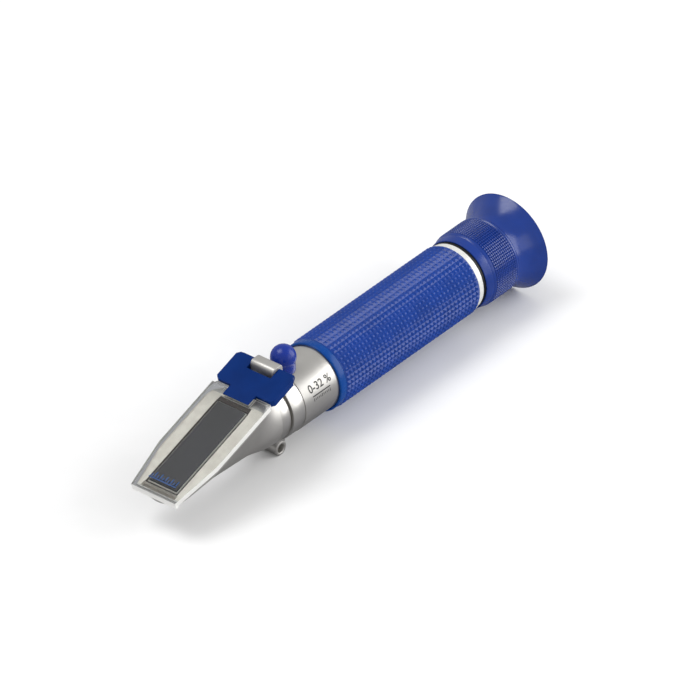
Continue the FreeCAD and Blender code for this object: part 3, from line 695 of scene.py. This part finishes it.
class REFRACTOMETER_OT_head(bpy.types.Operator):
    """Build the head casting with its collar, lanyard lug and hinge knuckle"""

    bl_idname = "refractometer.head"
    bl_label = "Head casting"

    def execute(self, context):
        shapes = [(None, head_shape()), (ANODISED, collar_shape())]
        shapes += [(CAST, shape) for shape in lug_shapes() + knuckle_shapes()]
        finishes = [cast_aluminium, anodised_aluminium, milled_top_with_painted_highlight, recess_painted_shade]
        add_piece("head_body", join_shapes(shapes), "root", finishes, ["head_casting"],
                  smooth=40)
        return {"FINISHED"}


# ---------------------------------------------------------------- prism and cover

MARK_THICK = 0.03               # ink on the cover plate


def printed_bar(low, high):
    """A thin bar of ink on the cover plate's top face, in the slope's own directions."""
    shape = box_shape((low[0], low[1], 0.0), (high[0], high[1], MARK_THICK))
    turn = Matrix.Translation(on_slope(0, 0)) @ Matrix.Rotation(-SLOPE, 4, "Y")
    bmesh.ops.transform(shape, matrix=turn, verts=shape.verts)
    return shape


class REFRACTOMETER_OT_prism(bpy.types.Operator):
    """Build the prism and the dark seal round it"""

    bl_idname = "refractometer.prism"
    bl_label = "Prism and seal"

    def execute(self, context):
        glass = merged_copy("prism")
        soften(glass, 0.4, 1, 20)
        for face in glass.faces:
            # the prism's bevels take the pale colour, a painted highlight round its face
            face.material_index = 0 if abs(face.normal.dot(UPWARD)) > 0.99 else 1
        add_piece("prism_block", glass, "root", [prism_glass, ground_bevel_painted_highlight], ["prism"],
                  smooth=15)
        # the seal's dark band behind the prism is partly painted shade
        seal = merged_copy("prism_seal")
        soften(seal, 0.12, 1)
        add_piece("prism_gasket", seal, "root", [potting_and_painted_shade], ["prism_seal"], smooth=15)
        return {"FINISHED"}


class REFRACTOMETER_OT_cover(bpy.types.Operator):
    """Build the clear cover plate, the hinge frame and the printed marks"""

    bl_idname = "refractometer.cover"
    bl_label = "Cover and hinge frame"

    def execute(self, context):
        plate = merged_copy("cover_plate")
        soften(plate, 0.16, 2, 30)
        for face in plate.faces:
            # the side faces take the milky white, a painted highlight along the plate's edges
            face.material_index = 1 if abs(face.normal.dot(UPWARD)) < 0.1 else 0
        add_piece("cover_window", plate, "cover", [clear_acrylic, satin_edge_painted_highlight], ["cover_plate"],
                  smooth=15)
        hinge = merged_copy("cover_hinge_frame")
        soften(hinge, 0.28, 3, 40)
        add_piece("hinge_frame", hinge, "cover", [frame_plastic], ["cover_hinge_frame"],
                  smooth=15)
        dress("hinge_pin", steel)
        tip = -46.0
        bars = [((tip, -5.6), (tip + 0.5, 6.6))]
        bars += [((tip + 0.8, across), (tip + (1.9 if step % 2 else 3.0), across + 0.5))
                 for step, across in enumerate([-5.4 + 1.2 * count for count in range(10)])]
        marks = join_shapes([(0, printed_bar(low, high)) for low, high in bars])
        add_piece("cover_marks", marks, "cover", [blue_ink])
        return {"FINISHED"}


# ---------------------------------------------------------------- tube

RING_BORE = TUBE_RADIUS + 0.02  # rings and grip, slid over the tube
INK_LIFT = 0.03                 # ink above the tube, so that the two faces don't meet
INK_THICK = 0.02


def wrapped_text(words, height, station, turn_degrees):
    """Flat lettering wrapped round the tube, reading towards the eyepiece."""
    curve = bpy.data.curves.new("lettering", "FONT")
    curve.body = words
    curve.size = height
    curve.offset = height * 0.014
    curve.align_x = "CENTER"
    curve.align_y = "CENTER"
    holder = bpy.data.objects.new("lettering", curve)
    bpy.context.scene.collection.objects.link(holder)
    mesh = bpy.data.meshes.new_from_object(holder.evaluated_get(bpy.context.evaluated_depsgraph_get()))
    bpy.data.objects.remove(holder)
    shape = bmesh.new()
    shape.from_mesh(mesh)
    bpy.data.meshes.remove(mesh)
    slices = 8
    for step in range(1, slices):
        level = mix(-height / 2, height / 2, step / slices)
        bmesh.ops.bisect_plane(shape, geom=shape.verts[:] + shape.edges[:] + shape.faces[:],
                               plane_co=(0, level, 0), plane_no=(0, 1, 0))
    bmesh.ops.triangulate(shape, faces=shape.faces)
    wrap(shape, station, turn_degrees)
    return shape


def wrap(shape, station, turn_degrees):
    """Bend a flat shape round the tube and give it the thickness of ink."""
    radius = TUBE_RADIUS + INK_LIFT
    for point in shape.verts:
        angle = math.radians(turn_degrees) - point.co.y / TUBE_RADIUS
        point.co = (station + point.co.x, -radius * math.sin(angle), radius * math.cos(angle))
    raised = bmesh.ops.extrude_face_region(shape, geom=shape.faces[:], use_keep_orig=True)["geom"]
    stretch = 1 + INK_THICK / TUBE_RADIUS
    for point in raised:
        if isinstance(point, bmesh.types.BMVert):
            point.co = (point.co.x, point.co.y * stretch, point.co.z * stretch)
    bmesh.ops.recalc_face_normals(shape, faces=shape.faces)


def wrapped_bar(length, height, station, turn_degrees):
    """A straight bar of ink round the tube."""
    shape = bmesh.new()
    bmesh.ops.create_grid(shape, x_segments=1, y_segments=1, size=0.5)
    bmesh.ops.scale(shape, vec=(length, height, 1), verts=shape.verts)
    wrap(shape, station, turn_degrees)
    return shape


class REFRACTOMETER_OT_tube(bpy.types.Operator):
    """Build the main tube, the plain rings at the ends of the grip and the printed range"""

    bl_idname = "refractometer.tube"
    bl_label = "Tube and rings"

    def execute(self, context):
        front, rear = span_mm("main_tube")
        bore = 11.0
        tube = turned([(front, bore), (rear, bore), (rear, TUBE_RADIUS), (front, TUBE_RADIUS)], 160)
        soften(tube, 0.2)
        add_piece("tube", tube, "root", [anodised_aluminium], ["main_tube"])
        for name, node, maker, slot, edge in (
                ("trim_ring", "front_ring", trim_plastic, "trim_blue", 0.45),
                ("silver_ring", "rear_ring", silver_paint, "ring_silver", 0.25)):
            front, rear = span_mm(node)
            outer = radius_mm(node)
            ring = turned([(front, RING_BORE), (rear, RING_BORE), (rear, outer), (front, outer)], 128)
            soften(ring, edge, 3)
            add_piece(name, ring, "root", [maker], [node])
        # bare front edge of the flange behind the plain ring, a thin coat over its radius of 13.2
        low, high, back = 13.15, 13.24, rear + 0.8
        rim = turned([(rear, low), (back, low), (back, high), (rear, high)], 128)
        add_piece("flange_rim", rim, "root", [silver_paint])
        ink = [wrapped_text("0-32 %", 4.3, -19.6, 58), wrapped_bar(9.6, 0.4, -19.8, 71)]
        ink += [wrapped_bar(0.25, 0.8 if step % 5 else 1.3, -24.2 + 0.88 * step, 77) for step in range(11)]
        add_piece("range_mark", join_shapes([(0, shape) for shape in ink]), "root", [dark_ink])
        return {"FINISHED"}


class REFRACTOMETER_OT_grip(bpy.types.Operator):
    """Build the grip with its moulded pyramids"""

    bl_idname = "refractometer.grip"
    bl_label = "Grip"

    def execute(self, context):
        front, rear = span_mm("grip_sleeve")
        depth = sizes().grip_depth / MM
        base = radius_mm("grip_sleeve") - depth
        rim, border = 0.25, 0.7         # plain edge at each end, and each pyramid's slope
        count = sizes().grip_along
        outer = [(mix(rear - rim, front + rim, step / count), base) for step in range(count + 1)]
        outline = [(front, RING_BORE), (rear, RING_BORE), (rear, base - 0.05)]
        outline += outer + [(front, base - 0.05)]
        sleeve = turned(outline, sizes().grip_around)
        cells = [face for face in sleeve.faces
                 if front + rim < face.calc_center_median().x < rear - rim
                 and min(math.hypot(point.co.y, point.co.z) for point in face.verts) > base - 0.01]
        bmesh.ops.inset_individual(sleeve, faces=cells, thickness=border, depth=depth, use_even_offset=True)
        add_piece("grip", sleeve, "root", [grip_rubber], ["grip_sleeve"], smooth=20)
        return {"FINISHED"}


# ---------------------------------------------------------------- calibration cap

class REFRACTOMETER_OT_cap(bpy.types.Operator):
    """Build the rubber cap over the calibration screw"""

    bl_idname = "refractometer.cap"
    bl_label = "Calibration cap"

    def execute(self, context):
        low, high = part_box("calibration_cap")
        top = high.z / MM - AXIS_RISE
        ball = (high.x - low.x) / 2 / MM
        stem, inner = 4.45, 3.35        # outside and bore of the cap's wall
        foot, floor = 12.2, 17.2        # heights over the axis: the foot, and the end of the bore
        dome = [(top - ball * (1 - math.cos(math.radians(turn))), ball * math.sin(math.radians(turn)))
                for turn in range(0, 100, 9)]
        outline = dome + [(top - ball - 0.95, ball - 0.1), (top - ball - 1.2, stem), (14.4, stem - 0.05),
                          (foot, stem)]
        outline += [(foot, inner), (floor, inner), (floor + 0.8, inner - 1.0), (floor + 0.9, 0)]
        cap = turned(outline, 64, centre=(CAP_STATION, 0, 0), axis=(0, 0, 1), closed=False)
        for point in cap.verts:
            if point.co.z < foot + 1.3:
                saddle = math.sqrt(TUBE_RADIUS ** 2 - point.co.y ** 2) + 0.05
                point.co.z = saddle + max(0.0, point.co.z - foot)
        soften(cap, 0.25, 2, 50)
        add_piece("screw_cap", cap, "cap", [cap_rubber], ["calibration_cap"], smooth=50)
        return {"FINISHED"}


# ---------------------------------------------------------------- eyepiece

class REFRACTOMETER_OT_focus(bpy.types.Operator):
    """Build the knurled focus ring"""

    bl_idname = "refractometer.focus"
    bl_label = "Focus ring"

    def execute(self, context):
        front, spigot = span_mm("focus_ring")
        rear = span_mm("eyecup")[0]
        outer = radius_mm("focus_ring")
        knurl_front, knurl_rear = front + 4.7, rear - 1.6
        tooth = 0.3
        base = outer - tooth
        count = sizes().knurl_along
        knurl = [(mix(knurl_rear, knurl_front, step / count), base) for step in range(count + 1)]
        # the stepped bore from front to rear, the shoulder for the eyecup, then the outside back to the front
        outline = [
            (front, 13.35), (front + 5, 13.35), (front + 5, 11.7), (front + 12.6, 11.7), (front + 12.6, 9.75),
            (front + 13.95, 9.75), (front + 13.95, 11.25), (front + 16.1, 11.25), (front + 16.1, 11.95),
            (spigot, 11.95), (spigot, 12.6), (rear, 12.6), (rear, outer - 0.5), (rear - 0.5, outer - 0.15),
            (rear - 1.2, outer - 0.05)]
        outline += knurl
        outline += [(front + 4.4, outer - 0.1), (front + 3.5, outer - 0.35), (front + 3.3, outer - 0.5),
                    (front + 0.5, outer - 0.95), (front + 0.1, outer - 1.1), (front, outer - 1.35)]
        ring = turned(outline, sizes().knurl_around)
        cells = [face for face in ring.faces
                 if knurl_front < face.calc_center_median().x < knurl_rear
                 and min(math.hypot(point.co.y, point.co.z) for point in face.verts) > base - 0.01]
        bmesh.ops.inset_individual(ring, faces=cells, thickness=0.2, depth=tooth, use_even_offset=True)
        add_piece("focus_knob", ring, "focus", [focus_plastic], ["focus_ring"], smooth=24)
        return {"FINISHED"}


class REFRACTOMETER_OT_eyecup(bpy.types.Operator):
    """Build the flared eyecup"""

    bl_idname = "refractometer.eyecup"
    bl_label = "Eyecup"

    def execute(self, context):
        front, rear = span_mm("eyecup")
        rim = radius_mm("eyecup")
        neck, bore, bottom = 14.35, 12.62, 93.2         # the cup's inside starts at the bottom station
        steps = 18
        length = rear - front
        outside = []
        for step in range(steps + 1):
            share = step / steps
            outside.append((front + length * share * 0.985, neck + (rim - 0.12 - neck) * share ** 1.75))
        lip = [(rear - 0.05, rim), (rear, rim - 0.25), (rear - 0.1, rim - 0.8)]
        inside = []
        for step in range(steps + 1):
            share = 1 - step / steps
            wall = mix(1.7, 1.0, share)
            inside.append((mix(bottom, rear - 0.8, share), neck + (rim - neck) * share ** 1.6 - wall))
        outline = outside + lip + inside + [(bottom, bore), (front, bore)]
        cup = turned(outline, 160)
        add_piece("eyecup_flare", cup, "focus", [focus_plastic], ["eyecup"], smooth=40)
        return {"FINISHED"}


class REFRACTOMETER_OT_eyepiece(bpy.types.Operator):
    """Build the eye lens"""

    bl_idname = "refractometer.eyepiece"
    bl_label = "Eyepiece"

    def execute(self, context):
        front, rear = span_mm("eye_lens")
        outer = radius_mm("eye_lens")
        rear_sag, front_sag = 1.7, 1.1          # how far each face falls from its middle to its edge
        crown = [(rear - rear_sag * (step / 10) ** 2, outer * step / 10) for step in range(11)]
        back = [(front + front_sag * (step / 10) ** 2, outer * step / 10) for step in range(10, -1, -1)]
        lens = turned(crown + back, 96, closed=False)
        add_piece("eye_glass", lens, "eyepiece", [lens_glass], ["eye_lens"], smooth=40)
        return {"FINISHED"}


KEPT_NODES = {
    black_plastic: ("focus_tube", "eyepiece_barrel", "lens_spacer", "lens_retainer", "barrel_retainer"),
    black_metal: ("arm_bracket", "objective_cell", "objective_retainer", "baffle", "reticle_holder",
                  "reticle_retainer"),
    steel: ("bracket_screws", "reticle_screws", "guide_screw", "arm_pivot_pin", "arm_return_spring",
            "bimetal_strip", "calibration_screw"),
    brass: ("calibration_bush", "calibration_pad", "lens_arm"),
    lens_glass: ("objective_lens", "reticle", "field_lens"),
    potting_and_painted_shade: ("spigot_o_ring", "barrel_o_ring"),
}


class REFRACTOMETER_OT_inner_parts(bpy.types.Operator):
    """Give the inner pieces that keep their CAD shape their finishes"""

    bl_idname = "refractometer.inner_parts"
    bl_label = "Inner parts"

    def execute(self, context):
        for maker, nodes in KEPT_NODES.items():
            for node in nodes:
                dress(node, maker)
        return {"FINISHED"}


# ---------------------------------------------------------------- stage

CAMERA_AZIMUTH = -51.05
CAMERA_ELEVATION = 34.5
CAMERA_AIM = (0.0109, 0.0, 0.0190)
CAMERA_DISTANCE = 8.0
CAMERA_LENS = 1159.5


def point_from(azimuth, elevation):
    """Direction from the object towards a place round it, as the camera's angles are measured."""
    turn, rise = math.radians(azimuth), math.radians(elevation)
    return Vector((math.sin(turn) * math.cos(rise), -math.cos(turn) * math.cos(rise), math.sin(rise)))


def add_light(name, azimuth, elevation, distance, width, height, power):
    """A soft panel that faces the middle of the object."""
    lamp = bpy.data.lights.new(name, "AREA")
    lamp.shape = "RECTANGLE"
    lamp.size, lamp.size_y = width, height
    lamp.energy = power
    holder = bpy.data.objects.new(name, lamp)
    away = point_from(azimuth, elevation)
    holder.location = Vector(CAMERA_AIM) + away * distance
    holder.rotation_euler = away.to_track_quat("Z", "Y").to_euler()
    bpy.context.scene.collection.objects.link(holder)


class REFRACTOMETER_OT_stage(bpy.types.Operator):
    """Build the floor, the studio lights and the camera"""

    bl_idname = "refractometer.stage"
    bl_label = "Stage"

    def execute(self, context):
        shape = bmesh.new()
        bmesh.ops.create_grid(shape, x_segments=1, y_segments=1, size=4.0)
        mesh = bpy.data.meshes.new("floor")
        shape.to_mesh(mesh)
        shape.free()
        mesh.materials.append(finish_of(floor_paper))
        floor = bpy.data.objects.new("floor", mesh)
        context.scene.collection.objects.link(floor)

        world = bpy.data.worlds.new("studio")
        world.use_nodes = True
        context.scene.world = world
        background = next(node for node in world.node_tree.nodes if node.type == "BACKGROUND")
        background.inputs["Color"].default_value = (1, 1, 1, 1)
        background.inputs["Strength"].default_value = 0.62
        context.scene.view_settings.view_transform = "Standard"

        add_light("key_panel", 218, 61, 3.0, 1.7, 1.7, 42)
        add_light("side_panel", 48, 17, 1.0, 0.75, 1.1, 8)
        add_light("front_panel", 8, 20, 1.0, 0.5, 0.6, 1)

        camera_data = bpy.data.cameras.new("camera")
        camera_data.lens = CAMERA_LENS
        camera_data.clip_end = 40
        camera = bpy.data.objects.new("camera", camera_data)
        away = point_from(CAMERA_AZIMUTH, CAMERA_ELEVATION)
        camera.location = Vector(CAMERA_AIM) + away * CAMERA_DISTANCE
        camera.rotation_euler = away.to_track_quat("Z", "Y").to_euler()
        context.scene.collection.objects.link(camera)
        context.scene.camera = camera
        return {"FINISHED"}


# ---------------------------------------------------------------- add-on

OPERATORS = (
    REFRACTOMETER_OT_head,
    REFRACTOMETER_OT_prism,
    REFRACTOMETER_OT_cover,
    REFRACTOMETER_OT_tube,
    REFRACTOMETER_OT_grip,
    REFRACTOMETER_OT_cap,
    REFRACTOMETER_OT_focus,
    REFRACTOMETER_OT_eyecup,
    REFRACTOMETER_OT_eyepiece,
    REFRACTOMETER_OT_inner_parts,
    REFRACTOMETER_OT_stage,
)


class REFRACTOMETER_PT_panel(bpy.types.Panel):
    """Sizes, colours and pieces of the refractometer"""

    bl_idname = "REFRACTOMETER_PT_panel"
    bl_label = "Refractometer"
    bl_space_type = "VIEW_3D"
    bl_region_type = "UI"
    bl_category = "Refractometer"

    def draw(self, context):
        for settings in (context.scene.refractometer_sizes, context.scene.refractometer_colours):
            for name in settings.bl_rna.properties.keys():
                if name not in ("rna_type", "name"):
                    self.layout.prop(settings, name)
        for operator in OPERATORS:
            self.layout.operator(operator.bl_idname)


CLASSES = (RefractometerColours, RefractometerSizes, *OPERATORS, REFRACTOMETER_PT_panel)


def register():
    for kind in CLASSES:
        bpy.utils.register_class(kind)
    bpy.types.Scene.refractometer_colours = bpy.props.PointerProperty(type=RefractometerColours)
    bpy.types.Scene.refractometer_sizes = bpy.props.PointerProperty(type=RefractometerSizes)


def unregister():
    del bpy.types.Scene.refractometer_sizes
    del bpy.types.Scene.refractometer_colours
    for kind in reversed(CLASSES):
        bpy.utils.unregister_class(kind)


def main():
    register()
    for operator in OPERATORS:
        group, name = operator.bl_idname.split(".")
        getattr(getattr(bpy.ops, group), name)()
    bpy.context.view_layer.update()


if __name__ == "__main__":
    main()
